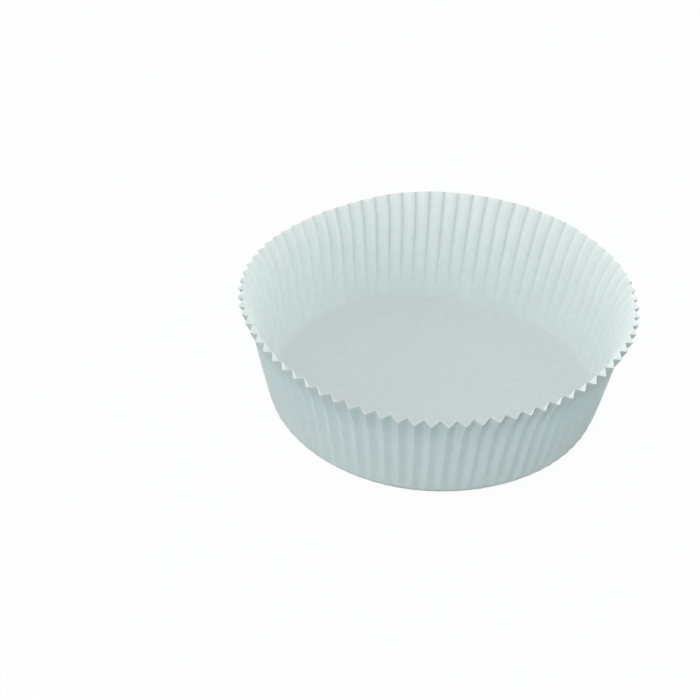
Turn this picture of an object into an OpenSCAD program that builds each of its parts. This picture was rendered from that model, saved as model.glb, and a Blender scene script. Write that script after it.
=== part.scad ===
/* [Sheet] */
// Diameter of the flat base, measured where the fold would be if it were sharp
base_d = 84; // [60:1:100]
// Length of the pleated wall along the paper, from the base to the cut edge
wall_len = 30; // [24:0.5:40]
// Thickness of the paper
paper_t = 0.1; // [0.06:0.01:0.2]

/* [Form] */
// Lean of the wall away from upright, in degrees
lean = 11.5; // [6:0.5:20]
// Lean at the cut edge, where the wall flares out, in degrees
rim_lean = 30; // [20:0.5:40]
// Length of the flare along the paper, below the cut edge
flare_len = 10.5; // [6:0.5:14]
// Radius of the fold between the base and the wall
fold_r = 0.8; // [0.5:0.1:1.4]

/* [Pleats] */
// Number of pleats round the wall
pleats = 80; // [60:4:96]
// Shape of a pleat: 1 is an even zigzag, and less pinches the outer crease and opens the inner one
pleat_evenness = 0.8; // [0.6:0.05:1]
// Length of paper above the flat base over which the pleats come in, crushed flat by the fold
pleat_start = 3; // [1:0.5:6]

/* [Hidden] */

// Flat facets across one pleat, from ridge to ridge
pleat_facets = 4;
// Whole number of pleats, and the columns of points round the wall
pleat_count = round(pleats);
columns = pleat_count * pleat_facets;
// Bands of facets up the fold, up the straight part of the wall and up the flare
fold_bands = 2;
wall_bands = 3;
flare_bands = 2;
// How far the bands of the wall crowd towards the base, where the pleats deepen fastest
band_crowding = 1.5;
// Half of the step over which a slope is measured
slope_step = 0.001;
// Degrees in a radian
radian = 180 / PI;

// The paper turns up through this angle at the fold, and back down through that one at the flare
fold_angle = 90 - lean;
flare_turn = lean - rim_lean;

// The flat base ends where the fold starts, one fold tangent inside the sharp corner
fold_tangent = fold_r * tan(fold_angle / 2);
flat_r = base_d / 2 - fold_tangent;
fold_len = fold_r * fold_angle / radian;
wall_run = wall_len - fold_tangent - flare_len;
flare_start = fold_len + wall_run;

// Distances along the paper, from the edge of the flat base to the cut edge, one for each ring of points
ring_s = concat(
    [for (i = [0 : fold_bands]) fold_len * i / fold_bands],
    [for (i = [1 : wall_bands]) fold_len + wall_run * pow(i / wall_bands, band_crowding)],
    [for (i = [1 : flare_bands]) flare_start + flare_len * i / flare_bands]
);

// Way from one end of an arc to the other: its length, its first slope from level and its turn
function arc_way(len, first_slope, turn) =
    let (
        chord = turn == 0 ? len : len * sin(turn / 2) / (turn / 2 / radian),
        slope = first_slope + turn / 2
    )
    chord * [cos(slope), sin(slope)];

// The wall's mean line: its slope from level, and its radius and height, at the distance s along the paper
function slope(s) =
    s < fold_len ? s / fold_r * radian
    : fold_angle + flare_turn * max(0, s - flare_start) / flare_len;
function mean_way(s) =
    s < fold_len
    ? arc_way(s, 0, slope(s))
    : arc_way(fold_len, 0, fold_angle)
        + arc_way(min(s, flare_start) - fold_len, fold_angle, 0)
        + arc_way(max(0, s - flare_start), fold_angle, slope(s) - fold_angle);
function mean_r(s) = flat_r + mean_way(s).x;
function mean_z(s) = paper_t / 2 + mean_way(s).y;

// The sheet was cut as a flat disc, so at the distance s its circle is longer than the wall's.
// The pleats take up that length, and this gives their depth from ridge to hollow.
function gather(s) = (flat_r + s) / mean_r(s);
function full_depth(s) = PI * mean_r(s) / pleat_count * sqrt(max(0, pow(gather(s), 2) - 1));
function pleat_depth(s) = full_depth(s) * (1 - exp(-s / pleat_start));

// Share of the way from the nearest ridge to the nearest hollow
function ridge_to_hollow(column) = acos(cos(360 * column / pleat_facets)) / 180;

// Height of the pleat's section: 1 on the outer ridge, -1 in the inner hollow
function wave(column) = 1 - 2 * pow(ridge_to_hollow(column), pleat_evenness);

// A point midway through the paper's thickness
function sheet_point(s, column) =
    let (
        angle = 360 * column / columns,
        out = pleat_depth(s) / 2 * wave(column),
        r = mean_r(s) + out * sin(slope(s))
    )
    [r * cos(angle), r * sin(angle), mean_z(s) - out * cos(slope(s))];

function unit(v) = v / norm(v);

// Outward normal of the facet between a column and the next one
function facet_normal(s, column, along) =
    unit(cross(sheet_point(s, column + 1) - sheet_point(s, column), along));

// Offset that keeps one unit of thickness on both facets that meet at a point
function thickness_way(s, column) =
    let (
        along = sheet_point(s + slope_step, column) - sheet_point(s - slope_step, column),
        before = facet_normal(s, column - 1, along),
        after = facet_normal(s, column, along)
    )
    (before + after) / (1 + before * after);

// One face of the paper: the middle of the base, then rings of points out to the cut edge.
// Side is 1 for the outer face and -1 for the inner.
function skin(side) = concat(
    [[0, 0, (1 - side) * paper_t / 2]],
    [
        for (s = ring_s)
            for (column = [0 : columns - 1])
                sheet_point(s, column) + side * paper_t / 2 * thickness_way(s, column)
    ]
);

// Two triangles over the corners a, b, c and d of a facet
function facet(a, b, c, d) = [[a, b, c], [a, c, d]];

// The liner: one sheet of paper with a flat base, a fold and a pleated wall
module liner() {
    rings = len(ring_s);
    inner = 1 + rings * columns;
    last = rings - 1;
    // Place of a point in the list: first is where its skin starts
    function at(first, ring, column) = first + 1 + ring * columns + column % columns;
    base = [
        for (i = [0 : columns - 1])
            each [[0, at(0, 0, i), at(0, 0, i + 1)], [inner, at(inner, 0, i + 1), at(inner, 0, i)]]
    ];
    wall_outside = [
        for (ring = [0 : last - 1])
            for (i = [0 : columns - 1])
                each facet(at(0, ring, i), at(0, ring + 1, i), at(0, ring + 1, i + 1), at(0, ring, i + 1))
    ];
    wall_inside = [
        for (ring = [0 : last - 1])
            for (i = [0 : columns - 1])
                each facet(
                    at(inner, ring, i), at(inner, ring, i + 1), at(inner, ring + 1, i + 1), at(inner, ring + 1, i)
                )
    ];
    cut_edge = [
        for (i = [0 : columns - 1])
            each facet(at(0, last, i), at(inner, last, i), at(inner, last, i + 1), at(0, last, i + 1))
    ];
    color([0.9, 0.93, 0.92])
        polyhedron(points = concat(skin(1), skin(-1)), faces = concat(base, wall_outside, wall_inside, cut_edge));
}

liner();
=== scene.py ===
import math

import bmesh
import bpy
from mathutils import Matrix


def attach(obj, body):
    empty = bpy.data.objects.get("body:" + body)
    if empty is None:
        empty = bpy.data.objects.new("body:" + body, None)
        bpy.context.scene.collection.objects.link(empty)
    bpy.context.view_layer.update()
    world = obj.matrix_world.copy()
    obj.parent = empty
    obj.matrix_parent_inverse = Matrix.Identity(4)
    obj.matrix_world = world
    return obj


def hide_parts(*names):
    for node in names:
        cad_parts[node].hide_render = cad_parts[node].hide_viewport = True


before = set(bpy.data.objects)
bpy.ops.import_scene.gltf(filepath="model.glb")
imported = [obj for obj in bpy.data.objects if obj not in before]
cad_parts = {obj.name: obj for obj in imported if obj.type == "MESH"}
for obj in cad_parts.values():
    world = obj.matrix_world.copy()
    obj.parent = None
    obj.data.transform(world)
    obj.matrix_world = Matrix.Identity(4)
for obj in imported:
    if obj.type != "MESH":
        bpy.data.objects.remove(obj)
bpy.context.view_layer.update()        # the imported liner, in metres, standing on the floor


# helpers

def pickVerts(bm, wanted):
    # select only these vertices of the mesh in edit mode
    for v in bm.verts:
        v.select = v.index in wanted
    bm.select_flush_mode()


def applyModifier(obj, modifier):
    bpy.context.view_layer.objects.active = obj
    bpy.ops.object.modifier_apply(modifier=modifier.name)


def rotatePoint(x, y, angle):
    return (x * math.cos(angle) - y * math.sin(angle), x * math.sin(angle) + y * math.cos(angle))


def angleOf(v):
    # angle round the axis from +X, with a ridge's own vertex never falling just short of a full turn
    slack = 0.0005
    return (math.atan2(v.co.y, v.co.x) + slack) % (2 * math.pi)


def shareBetween(value, low, high):
    # 0 up to low, 1 from high on
    return min(1.0, max(0.0, (value - low) / (high - low)))


# the paper sheet: flat base, fold and pleated wall, in metres and degrees
sheet = {
    "baseDiameter": 0.085,      # to the sharp corner under the fold
    "wallLength": 0.0302,       # along the paper, from that corner to the cut edge
    "thickness": 0.0001,
    "foldRadius": 0.0020,       # softened by handling
    "lean": 11.0,
    "rimLean": 30.0,            # where the wall flares out
    "flareLength": 0.0105,
    "pleats": 80,
    "evenness": 0.8,            # 1 is an even zigzag, less pinches the outer crease
    "outerRound": 0.13,         # half width of a rounded crease, in half pleats
    "innerRound": 0.13,
    "steeper": 1.08,            # this and the next give back the outline that the rounding takes
    "waveTop": 1.14,            # level of a sharp ridge, where 1 is half of the pleat's depth
    "columnPlaces": (0, 0.03, 0.08, 0.16, 0.28, 0.42, 0.5),      # from ridge to hollow, in pleats
    "baseRings": (0.2, 0.4, 0.58, 0.74, 0.86, 0.94),             # shares of the flat base
    "foldRings": 4,
    "wallRings": 13,
    "flareRings": 8,
    "crowding": 1.3,            # rings crowd towards the base, where pleats deepen fastest
    "pleatStart": 0.002,        # pleats come in over this length, as the fold crushes them flat
    "smoothBelow": 75,          # edges that turn by less are shaded smooth
}


def arcWay(length, firstSlope, turn):
    # way from one end of an arc to the other, slopes and turn in radians
    chord = length if turn == 0 else length * math.sin(turn / 2) / (turn / 2)
    return chord * math.cos(firstSlope + turn / 2), chord * math.sin(firstSlope + turn / 2)


def sheetRings(sheet):
    # the rings of vertices, from the middle of the base to the cut edge
    foldAngle = math.radians(90 - sheet["lean"])
    flareTurn = math.radians(sheet["lean"] - sheet["rimLean"])
    foldTangent = sheet["foldRadius"] * math.tan(foldAngle / 2)
    flatRadius = sheet["baseDiameter"] / 2 - foldTangent
    foldLength = sheet["foldRadius"] * foldAngle
    wallRun = sheet["wallLength"] - foldTangent - sheet["flareLength"]
    flareStart = foldLength + wallRun
    sheetEnd = flareStart + sheet["flareLength"]
    middle = sheet["thickness"] / 2
    flat = {"height": middle, "slope": 0.0, "depth": 0.0, "wallShare": 0.0}
    rings = [{"radius": flatRadius * share, **flat} for share in sheet["baseRings"]]
    stops = [foldLength * i / sheet["foldRings"] for i in range(sheet["foldRings"] + 1)]
    for i in range(1, sheet["wallRings"] + 1):
        stops.append(foldLength + wallRun * (i / sheet["wallRings"]) ** sheet["crowding"])
    for i in range(1, sheet["flareRings"] + 1):
        stops.append(flareStart + sheet["flareLength"] * i / sheet["flareRings"])
    for stop in stops:
        foldShare = min(1.0, stop / foldLength)
        flareShare = max(0.0, (stop - flareStart) / sheet["flareLength"])
        ways = (
            arcWay(foldLength * foldShare, 0.0, foldAngle * foldShare),
            arcWay(max(0.0, min(stop, flareStart) - foldLength), foldAngle, 0.0),
            arcWay(sheet["flareLength"] * flareShare, foldAngle, flareTurn * flareShare),
        )
        radius = flatRadius + sum(way[0] for way in ways)
        gather = (flatRadius + stop) / radius          # how much longer the flat sheet's circle is
        depth = math.pi * radius / sheet["pleats"] * math.sqrt(max(0.0, gather ** 2 - 1))
        depth *= 1 - math.exp(-stop / sheet["pleatStart"])
        rings.append({
            "radius": radius,                          # of the pleats' mean line
            "height": middle + sum(way[1] for way in ways),
            "slope": foldAngle * foldShare + flareTurn * flareShare,
            "depth": depth,                            # of a pleat, from ridge to hollow
            "wallShare": max(0.0, (stop - foldLength) / (sheetEnd - foldLength)),     # of the wall below it
        })
    return rings


def columnsPerPleat(sheet):
    return 2 * (len(sheet["columnPlaces"]) - 1)


def pleatWave(place, sheet):
    # highest on the outer ridge and lowest in the inner hollow, half a pleat away
    fromRidge = math.hypot(2 * place, sheet["outerRound"])
    fromHollow = math.hypot(1 - 2 * place, sheet["innerRound"]) - (1 - 2 * place)
    return sheet["steeper"] * (sheet["waveTop"] - 2 * (fromRidge - fromHollow) ** sheet["evenness"])


def buildSheet(sheet):
    places = sheet["columnPlaces"]
    perPleat = columnsPerPleat(sheet)
    columns = sheet["pleats"] * perPleat
    rings = sheetRings(sheet)
    first = rings[0]
    bpy.ops.mesh.primitive_circle_add(
        vertices=columns, radius=first["radius"], fill_type="TRIFAN", enter_editmode=True
    )
    obj = bpy.context.object
    obj.name = "paperLiner"
    bm = bmesh.from_edit_mesh(obj.data)
    bm.verts.ensure_lookup_table()
    bpy.ops.transform.translate(value=(0, 0, first["height"]))

    # crowd the columns towards each ridge, where the paper turns hardest;
    # the circle is all but the middle vertex, and here a positive value turns it clockwise
    circle = sorted((v for v in bm.verts if v.co.xy.length > first["radius"] / 2), key=angleOf)
    for step in range(1, perPleat):
        mirrored = min(step, perPleat - step)
        place = places[mirrored] if step == mirrored else 1 - places[mirrored]
        turn = (place - step / perPleat) * 2 * math.pi / sheet["pleats"]
        pickVerts(bm, {circle[i].index for i in range(step, columns, perPleat)})
        bpy.ops.transform.rotate(value=-turn, orient_axis="Z", center_override=(0, 0, 0))

    # extrude the edge outwards and upwards, ring by ring
    first["verts"] = [v.index for v in circle]
    pickVerts(bm, set(first["verts"]))
    for ring, nextRing in zip(rings, rings[1:]):
        rise = nextRing["height"] - ring["height"]
        bpy.ops.mesh.extrude_edges_move(TRANSFORM_OT_translate={"value": (0, 0, rise)})
        grow = nextRing["radius"] / ring["radius"]
        bpy.ops.transform.resize(value=(grow, grow, 1), center_override=(0, 0, 0))
        bm.verts.index_update()
        bm.verts.ensure_lookup_table()
        nextRing["verts"] = [v.index for v in sorted((v for v in bm.verts if v.select), key=angleOf)]

    # push the ridges out and draw the hollows in
    for ring in rings:
        if ring["depth"] == 0:
            continue
        for column, place in enumerate(places):
            out = ring["depth"] / 2 * pleatWave(place, sheet)
            grow = 1 + out * math.sin(ring["slope"]) / ring["radius"]
            steps = {column, perPleat - column}
            pickVerts(bm, {vert for i, vert in enumerate(ring["verts"]) if i % perPleat in steps})
            bpy.ops.transform.resize(value=(grow, grow, 1), center_override=(0, 0, 0))
            bpy.ops.transform.translate(value=(0, 0, -out * math.cos(ring["slope"])))
    return obj, rings


# the fold runs straighter at the back, where the base was pressed off centre:
# each pull is a place round the fold, in degrees, and the way it moves
foldPulls = {
    "reach": 0.036,
    "places": (
        (78, (-0.0007, -0.0035, 0.0)),
        (255, (-0.0001, -0.0004, 0.0)),
    ),
}

# the wall isn't quite round or level: each pull is a place round the rim and the way it moves
rimPulls = {
    "reach": 0.032,
    "places": (
        (0, (0.0, 0.0, 0.0005)),
        (30, (0.0004, 0.0002, -0.00015)),
        (60, (0.0002, 0.0004, 0.00015)),
        (90, (0.0, 0.0, 0.0002)),
        (120, (0.0002, -0.0004, -0.0008)),
        (150, (0.0004, -0.0002, -0.0008)),
        (180, (0.0, 0.0, 0.00075)),
        (210, (-0.0004, -0.0002, 0.0014)),
        (240, (-0.0002, -0.0004, -0.0001)),
        (270, (0.0, 0.0, -0.0014)),
        (300, (-0.0002, 0.0004, -0.0005)),
        (330, (-0.0004, 0.0002, 0.00075)),
    ),
}


def pullRing(bm, ring, pulls):
    # each pull takes the vertex that stands farthest that way, and draws the paper near it along
    start = {i: bm.verts[i].co.copy() for i in ring["verts"]}
    for angle, move in pulls["places"]:
        x, y = rotatePoint(1, 0, math.radians(angle))
        pickVerts(bm, {max(ring["verts"], key=lambda i: start[i].x * x + start[i].y * y)})
        bpy.ops.transform.translate(
            value=move,
            use_proportional_edit=True,
            proportional_size=pulls["reach"],
            proportional_edit_falloff="SMOOTH",
        )


def pullWall(bm, rings, pulls):
    # the base and fold stay put, hidden while the rim is pulled
    wall = {i for ring in rings if ring["wallShare"] > 0 for i in ring["verts"]}
    pickVerts(bm, {v.index for v in bm.verts} - wall)
    bpy.ops.mesh.hide()
    pullRing(bm, rings[-1], pulls)
    bpy.ops.mesh.reveal(select=False)


bpy.ops.object.select_all(action="DESELECT")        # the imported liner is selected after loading
liner, rings = buildSheet(sheet)
editMesh = bmesh.from_edit_mesh(liner.data)
editMesh.verts.ensure_lookup_table()
topOfFold = [ring for ring in rings if ring["wallShare"] == 0][-1]
pullRing(editMesh, topOfFold, foldPulls)
pullWall(editMesh, rings, rimPulls)
bpy.ops.object.mode_set(mode="OBJECT")
print("sheet folded:", len(liner.data.vertices), "vertices")

# small unevenness of pressed paper: how far it strays, and over what size
unevenness = {
    "waves": {"stray": 0.0004, "size": 0.020},
    "ripples": {"stray": 0.0002, "size": 0.006},
}
comesInOver = 0.5               # share of the wall, from the fold up


def roughen(obj, name, layer, group):
    cloud = bpy.data.textures.new(name, "CLOUDS")
    cloud.cloud_type = "COLOR"
    cloud.noise_scale = layer["size"]
    cloud.noise_depth = 1
    stray = obj.modifiers.new(name, "DISPLACE")
    stray.texture = cloud
    stray.texture_coords = "LOCAL"
    stray.direction = "RGB_TO_XYZ"
    stray.mid_level = 0.5
    stray.strength = layer["stray"]
    stray.vertex_group = group.name
    applyModifier(obj, stray)


wallGroup = liner.vertex_groups.new(name="wall")
for ring in rings:
    if ring["wallShare"] > 0:
        wallGroup.add(ring["verts"], min(1.0, ring["wallShare"] / comesInOver), "REPLACE")
for name, entry in unevenness.items():
    roughen(liner, name, entry, wallGroup)
print("wall made uneven:", len(unevenness), "layers")

# painted light on the sheet: painted shade along the outer creases seen from inside and by the fold, and a
# painted highlight just under the cut edge, partly the paler cut fibres
marks = {
    "crease": (1.0, 1.0, 0.75, 0.2),    # painted shade in the crease, by column, from the ridge
    "fullAt": 0.75,                     # share of the deepest pleat's depth where creases are darkest
    "fullFrom": 65,                     # degrees round from the sides, towards the back and the front
    "faintBelow": 35,                   # degrees from the sides within which they stay faint
    "faint": 0.35,                      # share of the painted shade that stays there
    "foldShade": 0.27,                       # painted shade by the fold: how far the inside goes to the crease shade's colour there
    "foldShadeReach": 0.45,                  # share of the wall that it fades over
    "rimHighlight": (1.0, 0.3),                  # painted highlight, partly the paler cut fibres, by ring, from the cut edge
}


def markSheet(obj, sheet, rings, marks):
    perPleat = columnsPerPleat(sheet)
    columns = perPleat * sheet["pleats"]
    deepest = max(ring["depth"] for ring in rings)
    # painted shade on the inside: along each outer crease, and by the fold
    creases = obj.data.attributes.new("crease", "FLOAT", "POINT")
    for ring in rings:
        deep = min(1.0, ring["depth"] / deepest / marks["fullAt"])
        # painted shade on the inside by the fold, fading up the wall
        foldShade = marks["foldShade"] * max(0.0, 1 - ring["wallShare"] / marks["foldShadeReach"])
        foldShade *= math.sin(ring["slope"])         # none on the flat base
        for i, vert in enumerate(ring["verts"]):
            step = min(i % perPleat, perPleat - i % perPleat)
            crease = marks["crease"][step] * deep if step < len(marks["crease"]) else 0
            fromSide = math.degrees(math.asin(abs(math.sin(2 * math.pi * i / columns))))
            full = shareBetween(fromSide, marks["faintBelow"], marks["fullFrom"])
            creases.data[vert].value = (marks["faint"] + (1 - marks["faint"]) * full) * max(crease, foldShade)
    # painted highlight just under the cut edge, partly the paler cut fibres
    rimHighlight = obj.data.attributes.new("rimHighlight", "FLOAT", "POINT")
    for value, ring in zip(marks["rimHighlight"], reversed(rings)):
        for vert in ring["verts"]:
            rimHighlight.data[vert].value = value


markSheet(liner, sheet, rings, marks)

# paper material, for three slots: the inside, the outside and the cut edge
paper = {
    "insideColor": (0.85, 0.895, 0.88),
    "creaseColor": (0.745, 0.785, 0.77),  # painted shade deep in a crease, seen from inside
    # the paper seen from outside: its own colour with a deeper cyan than the inside, painted tint of the
    # shade the outside stands in
    "outsideShadedColor": (0.79, 0.885, 0.88),
    "rimHighlightColor": (0.825, 0.92, 0.915),    # painted highlight just under the cut edge, seen from outside, partly the paler cut fibres
    # painted highlight on the cut edge itself, partly the paler cut fibres
    "edgeHighlightColor": (0.90, 0.94, 0.93),
    "roughness": 0.75,
    "lightReach": 0.0001,                # how far light wanders inside the sheet
    "reachByColor": (0.9, 1.0, 1.0),     # shares of it for red, green and blue
    "clouds": {"perMetre": 500, "paler": 1.02, "darker": 0.98},
    "fibres": {"perMetre": 2600, "paler": 1.02, "darker": 0.98},
    "noiseDetail": 3,
    "noiseRange": (0.3, 0.7),            # the noise runs from darker to paler between these
    "tooth": 0.00001,                    # height of the fibres
}


def speckle(nodes, links, place, paper, kind):
    # cloudy multiplier near 1, and the noise that it comes from
    noise = nodes.new("ShaderNodeTexNoise")
    noise.inputs["Scale"].default_value = paper[kind]["perMetre"]
    noise.inputs["Detail"].default_value = paper["noiseDetail"]
    links.new(place, noise.inputs["Vector"])
    spread = nodes.new("ShaderNodeMapRange")
    spread.inputs["From Min"].default_value = paper["noiseRange"][0]
    spread.inputs["From Max"].default_value = paper["noiseRange"][1]
    spread.inputs["To Min"].default_value = paper[kind]["darker"]
    spread.inputs["To Max"].default_value = paper[kind]["paler"]
    links.new(noise.outputs["Fac"], spread.inputs["Value"])
    return spread.outputs["Result"], noise.outputs["Fac"]


def paperMaterial(name, paper, color, mark, markColor):
    mat = bpy.data.materials.new(name)
    mat.use_nodes = True
    nodes, links = mat.node_tree.nodes, mat.node_tree.links
    shader = nodes["Principled BSDF"]
    shader.inputs["Roughness"].default_value = paper["roughness"]
    shader.inputs["Subsurface Weight"].default_value = 1.0
    shader.inputs["Subsurface Radius"].default_value = paper["reachByColor"]
    shader.inputs["Subsurface Scale"].default_value = paper["lightReach"]
    place = nodes.new("ShaderNodeTexCoord").outputs["Object"]
    marked = nodes.new("ShaderNodeAttribute")
    marked.attribute_name = mark
    shade = nodes.new("ShaderNodeMix")
    shade.data_type = "RGBA"
    shade.inputs["A"].default_value = (*paper[color], 1)
    shade.inputs["B"].default_value = (*paper[markColor], 1)
    links.new(marked.outputs["Fac"], shade.inputs["Factor"])
    cloudy, _ = speckle(nodes, links, place, paper, "clouds")
    fibrous, fibres = speckle(nodes, links, place, paper, "fibres")
    both = nodes.new("ShaderNodeMath")
    both.operation = "MULTIPLY"
    links.new(cloudy, both.inputs[0])
    links.new(fibrous, both.inputs[1])
    tint = nodes.new("ShaderNodeVectorMath")
    tint.operation = "SCALE"
    links.new(shade.outputs["Result"], tint.inputs["Vector"])
    links.new(both.outputs[0], tint.inputs["Scale"])
    links.new(tint.outputs["Vector"], shader.inputs["Base Color"])
    tooth = nodes.new("ShaderNodeBump")
    tooth.inputs["Distance"].default_value = paper["tooth"]
    links.new(fibres, tooth.inputs["Height"])
    links.new(tooth.outputs["Normal"], shader.inputs["Normal"])
    return mat


liner.data.materials.clear()
# the inside goes towards the painted crease shade, the outside and cut edge towards the painted highlight
# under the cut edge
liner.data.materials.append(paperMaterial("paperInside", paper, "insideColor", "crease", "creaseColor"))
liner.data.materials.append(paperMaterial("paperOutside", paper, "outsideShadedColor", "rimHighlight", "rimHighlightColor"))
liner.data.materials.append(paperMaterial("paperCutEdge", paper, "rimHighlightColor", "rimHighlight", "edgeHighlightColor"))


def thickenSheet(obj, sheet):
    thicken = obj.modifiers.new("thicken", "SOLIDIFY")
    thicken.thickness = sheet["thickness"]
    thicken.offset = 0
    thicken.use_even_offset = True
    thicken.material_offset = 1         # the outside's slot
    thicken.material_offset_rim = 2     # the cut edge's slot
    applyModifier(obj, thicken)
    bpy.ops.object.shade_smooth_by_angle(angle=math.radians(sheet["smoothBelow"]))


thickenSheet(liner, sheet)
print("paper thickened:", len(liner.data.polygons), "faces")
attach(liner, "root")
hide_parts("liner")

# stage: pale floor, which the camera sees nearly white but which keeps the shadow
stage = {
    "floorSize": 4.0,
    "floorHeight": -0.0002,     # just clear of the paper's underside
    "floorBounce": 0.08,        # for the light that bounces
    "floorWhite": 0.98,         # for the camera
    "whiteShare": 0.95,         # of the camera's white that no shadow darkens
}


def seenDirectly(nodes, links):
    # 1 for a ray from the camera, a reflection or a clear piece, 0 for the light that bounces
    path = nodes.new("ShaderNodeLightPath")
    seen = path.outputs["Is Camera Ray"]
    for kind in ("Is Glossy Ray", "Is Transmission Ray"):
        either = nodes.new("ShaderNodeMath")
        either.operation = "MAXIMUM"
        links.new(seen, either.inputs[0])
        links.new(path.outputs[kind], either.inputs[1])
        seen = either.outputs[0]
    return seen


def mixShaders(nodes, links, first, second):
    mix = nodes.new("ShaderNodeMixShader")
    links.new(first.outputs[0], mix.inputs[1])
    links.new(second.outputs[0], mix.inputs[2])
    return mix


def greyDiffuse(nodes, level):
    shader = nodes.new("ShaderNodeBsdfDiffuse")
    shader.inputs["Color"].default_value = (level, level, level, 1)
    return shader


def addFloor(stage):
    bpy.ops.mesh.primitive_plane_add(size=stage["floorSize"], location=(0, 0, stage["floorHeight"]))
    floor = bpy.context.object
    floor.name = "floor"
    mat = bpy.data.materials.new("paleFloor")
    mat.use_nodes = True
    nodes, links = mat.node_tree.nodes, mat.node_tree.links
    nodes.clear()
    output = nodes.new("ShaderNodeOutputMaterial")
    white = nodes.new("ShaderNodeEmission")
    seen = mixShaders(nodes, links, greyDiffuse(nodes, stage["floorWhite"]), white)
    seen.inputs["Fac"].default_value = stage["whiteShare"]
    mix = mixShaders(nodes, links, greyDiffuse(nodes, stage["floorBounce"]), seen)
    links.new(seenDirectly(nodes, links), mix.inputs["Fac"])
    links.new(mix.outputs[0], output.inputs["Surface"])
    floor.data.materials.append(mat)


# soft light from all round, by height of its direction: 0 at the horizon and 1 overhead
sky = {
    "horizon": (1.68, 1.68, 1.68),
    "between": ((0.25, (1.20, 1.22, 1.22)), (0.55, (0.71, 0.76, 0.755))),
    "overhead": (0.62, 0.675, 0.67),
}


def addWorld(sky):
    world = bpy.data.worlds.new("softStudio")
    bpy.context.scene.world = world
    world.use_nodes = True
    nodes, links = world.node_tree.nodes, world.node_tree.links
    nodes.clear()
    output = nodes.new("ShaderNodeOutputWorld")
    direction = nodes.new("ShaderNodeTexCoord")
    parts = nodes.new("ShaderNodeSeparateXYZ")
    links.new(direction.outputs["Generated"], parts.inputs[0])
    ramp = nodes.new("ShaderNodeValToRGB")
    for height, color in sky["between"]:
        ramp.color_ramp.elements.new(height).color = (*color, 1)
    ramp.color_ramp.elements[0].color = (*sky["horizon"], 1)
    ramp.color_ramp.elements[-1].color = (*sky["overhead"], 1)
    links.new(parts.outputs["Z"], ramp.inputs["Fac"])
    glow = nodes.new("ShaderNodeBackground")
    links.new(ramp.outputs["Color"], glow.inputs["Color"])
    white = nodes.new("ShaderNodeBackground")
    white.inputs["Color"].default_value = (1, 1, 1, 1)
    mix = mixShaders(nodes, links, glow, white)
    links.new(seenDirectly(nodes, links), mix.inputs["Fac"])
    links.new(mix.outputs[0], output.inputs["Surface"])


# soft lamps aimed at the middle of the base: metres, watts and degrees, azimuth from +X towards +Y
lamps = {
    "backLamp": {
        "azimuth": 112, "elevation": 17, "distance": 1.2,
        "width": 0.7, "height": 0.5, "power": 1.4,
    },
    "frontLeftLamp": {
        "azimuth": -168, "elevation": 26, "distance": 1.2,
        "width": 0.9, "height": 0.5, "power": 0.9,
    },
    "lowFrontLamp": {
        "azimuth": -128, "elevation": 2.3, "distance": 0.60,
        "width": 0.10, "height": 0.04, "power": 0.36,
    },
}


def addLamp(name, lamp):
    azimuth, elevation = math.radians(lamp["azimuth"]), math.radians(lamp["elevation"])
    level = lamp["distance"] * math.cos(elevation)
    place = (level * math.cos(azimuth), level * math.sin(azimuth), lamp["distance"] * math.sin(elevation))
    quarter = math.radians(90)
    turn = (quarter - elevation, 0, azimuth + quarter)
    bpy.ops.object.light_add(type="AREA", location=place, rotation=turn)
    added = bpy.context.object
    added.name = name
    added.data.shape = "RECTANGLE"
    added.data.size = lamp["width"]
    added.data.size_y = lamp["height"]
    added.data.energy = lamp["power"]


addFloor(stage)
addWorld(sky)
for name, lamp in lamps.items():
    addLamp(name, lamp)
print("floor, sky and lamps placed:", len(lamps), "lamps")

# camera, worked out from the rim's ridge tips and the outline of the base
view = {
    "distance": 0.4549,      # from the centre of the base
    "elevation": 37.79,
    "pitch": 36.78,
    "turnLeft": 3.50,        # aimed left of the axis
    "roll": 2.50,
    "ridgeTurn": -1.0,       # the nearest ridge stands this far round from the line of sight
    "focal": 1725 / 700,     # in image widths
    "sensor": 36.0,
}


def addCamera(view):
    elevation = math.radians(view["elevation"])
    x, y = rotatePoint(0, -view["distance"] * math.cos(elevation), math.radians(view["ridgeTurn"]))
    turn = (math.radians(90 - view["pitch"]), 0, math.radians(view["turnLeft"] + view["ridgeTurn"]))
    bpy.ops.object.camera_add(location=(x, y, view["distance"] * math.sin(elevation)), rotation=turn)
    camera = bpy.context.object
    camera.rotation_euler.rotate_axis("Z", math.radians(view["roll"]))
    camera.data.sensor_width = view["sensor"]
    camera.data.lens = view["focal"] * view["sensor"]
    bpy.context.scene.camera = camera


addCamera(view)
bpy.context.scene.view_settings.view_transform = "Standard"
